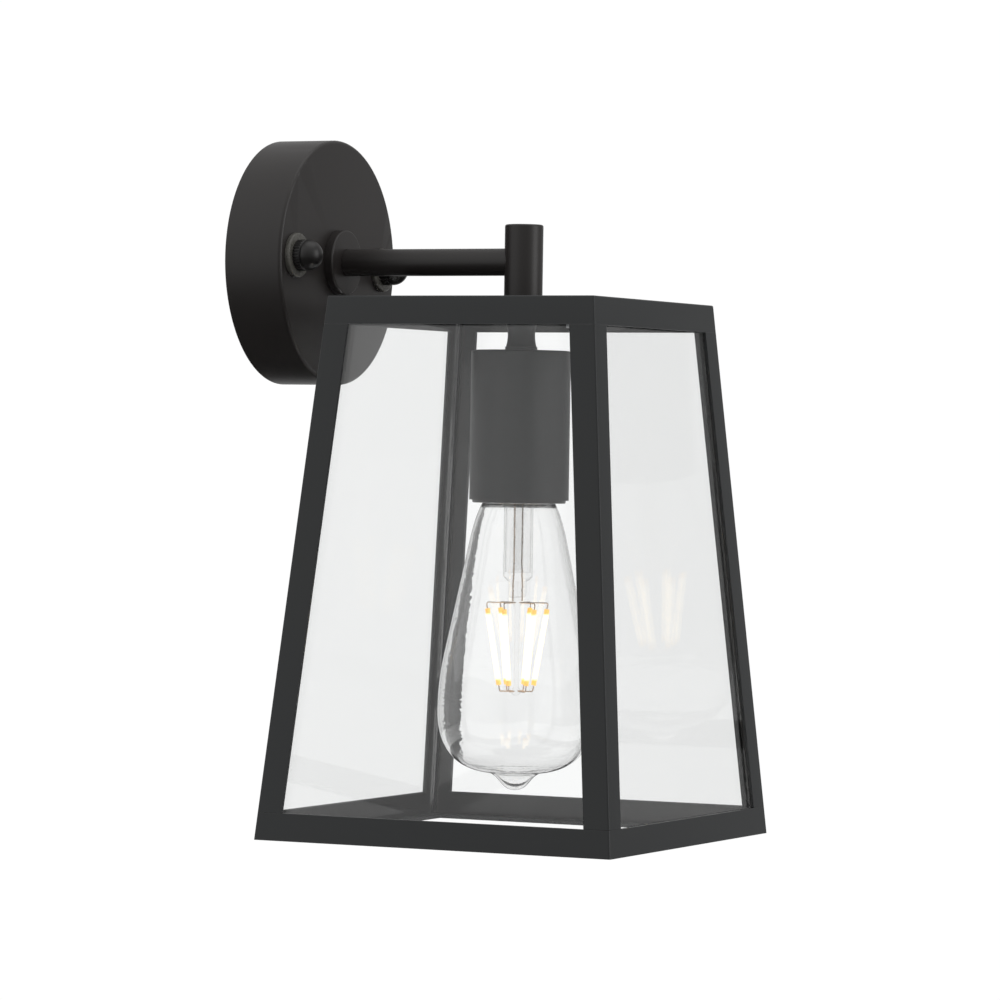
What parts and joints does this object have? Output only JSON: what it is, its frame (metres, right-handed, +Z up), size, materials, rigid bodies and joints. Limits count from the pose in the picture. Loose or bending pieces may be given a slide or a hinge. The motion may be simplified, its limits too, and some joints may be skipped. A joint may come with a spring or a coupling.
{
  "type": "outdoor wall lantern",
  "caption": "Black tapered box wall lantern with clear glass sides, open base, round wall canopy, straight arm and a screw-in filament bulb.",
  "frame": {"origin": "centre of the wall bracket and canopy on the wall plane", "axes": "+Y points into the wall, the lantern stands out towards -Y, +X is to the right seen from in front, +Z is up"},
  "size_m": [0.1548, 0.1867, 0.2809],
  "materials": {
    "black_powder": "satin",
    "warm_black_powder": "satin",
    "zinc_steel": "satin",
    "brass": "satin",
    "copper": "satin",
    "nickel_shell": "satin",
    "pane_glass": "gloss",
    "bulb_glass": "gloss",
    "seal_black": "matte",
    "washer_grey": "satin",
    "black_plastic": "satin",
    "ceramic_white": "matte",
    "cap_insulator": "gloss",
    "filament": "matte",
    "board_green": "satin",
    "block_white": "satin",
    "wire_brown": "satin",
    "wire_blue": "satin",
    "wire_earth": "satin"
  },
  "bodies": {
    "lantern": {"canopy": "warm_black_powder", "arm_flange": "warm_black_powder", "arm_tube": "warm_black_powder", "post": "warm_black_powder", "top_cap": "black_powder", "neck_collar": "black_powder", "lampholder_shroud": "black_powder", "leg_front_right": "black_powder", "leg_back_right": "black_powder", "leg_back_left": "black_powder", "leg_front_left": "black_powder", "rail_front": "black_powder", "rail_right": "black_powder", "rail_back": "black_powder", "rail_left": "black_powder", "wall_bracket": "zinc_steel", "mounting_studs": "zinc_steel", "stud_nuts": "zinc_steel", "earth_screw": "zinc_steel", "earth_lug": "zinc_steel", "arm_nipple": "zinc_steel", "arm_lock_washer": "zinc_steel", "arm_lock_nut": "zinc_steel", "post_nipple": "zinc_steel", "holder_lock_nut": "zinc_steel", "glass_clips": "zinc_steel", "glass_front": "pane_glass", "glass_right": "pane_glass", "glass_back": "pane_glass", "glass_left": "pane_glass", "glass_seal_front": "seal_black", "glass_seal_right": "seal_black", "glass_seal_back": "seal_black", "glass_seal_left": "seal_black", "lampholder_cap": "black_plastic", "lampholder_skirt": "black_plastic", "lampholder_core": "ceramic_white", "holder_terminals": "brass", "clamp_screws": "brass", "centre_contact": "brass", "screw_shell": "brass", "terminal_block": "block_white", "live_wire": "wire_brown", "neutral_wire": "wire_blue", "earth_wire": "wire_earth"},
    "washer_left": {"sealing_washer_left": "washer_grey"},
    "knob_left": {"knob_nut_left": "black_plastic"},
    "washer_right": {"sealing_washer_right": "washer_grey"},
    "knob_right": {"knob_nut_right": "black_plastic"},
    "bulb_base": {"cap_contact": "brass"},
    "bulb": {"bulb_cap": "nickel_shell", "cap_insulator": "cap_insulator", "bulb_glass": "bulb_glass", "bulb_stem": "bulb_glass", "led_filaments": "filament", "filament_carriers": "copper", "lead_wires": "copper", "driver_board": "board_green"}
  },
  "joints": [
    {"name": "bulb_travel", "type": "slide", "parent": "lantern", "child": "bulb_base", "axis": [0, 0, -1], "range_m": [0, 0.0254]},
    {"name": "bulb_turn", "type": "hinge", "parent": "bulb_base", "child": "bulb", "pos_m": [0, -0.1093, -0.09], "axis": [0, 0, -1], "range_deg": [0, 2520]},
    {"name": "washer_left_travel", "type": "slide", "parent": "lantern", "child": "washer_left", "axis": [0, -1, 0], "range_m": [0, 0.0056]},
    {"name": "knob_left_turn", "type": "hinge", "parent": "washer_left", "child": "knob_left", "pos_m": [-0.0376, -0.03, 0.0015], "axis": [0, -1, 0], "range_deg": [0, 2880]},
    {"name": "washer_right_travel", "type": "slide", "parent": "lantern", "child": "washer_right", "axis": [0, -1, 0], "range_m": [0, 0.0056]},
    {"name": "knob_right_turn", "type": "hinge", "parent": "washer_right", "child": "knob_right", "pos_m": [0.0376, -0.03, -0.0015], "axis": [0, -1, 0], "range_deg": [0, 2880]}
  ],
  "couplings": [
    {"joint": "bulb_turn", "follows": "bulb_travel", "rad_per_m": 1731.4},
    {"joint": "knob_left_turn", "follows": "washer_left_travel", "rad_per_m": 8976},
    {"joint": "knob_right_turn", "follows": "washer_right_travel", "rad_per_m": 8976}
  ]
}
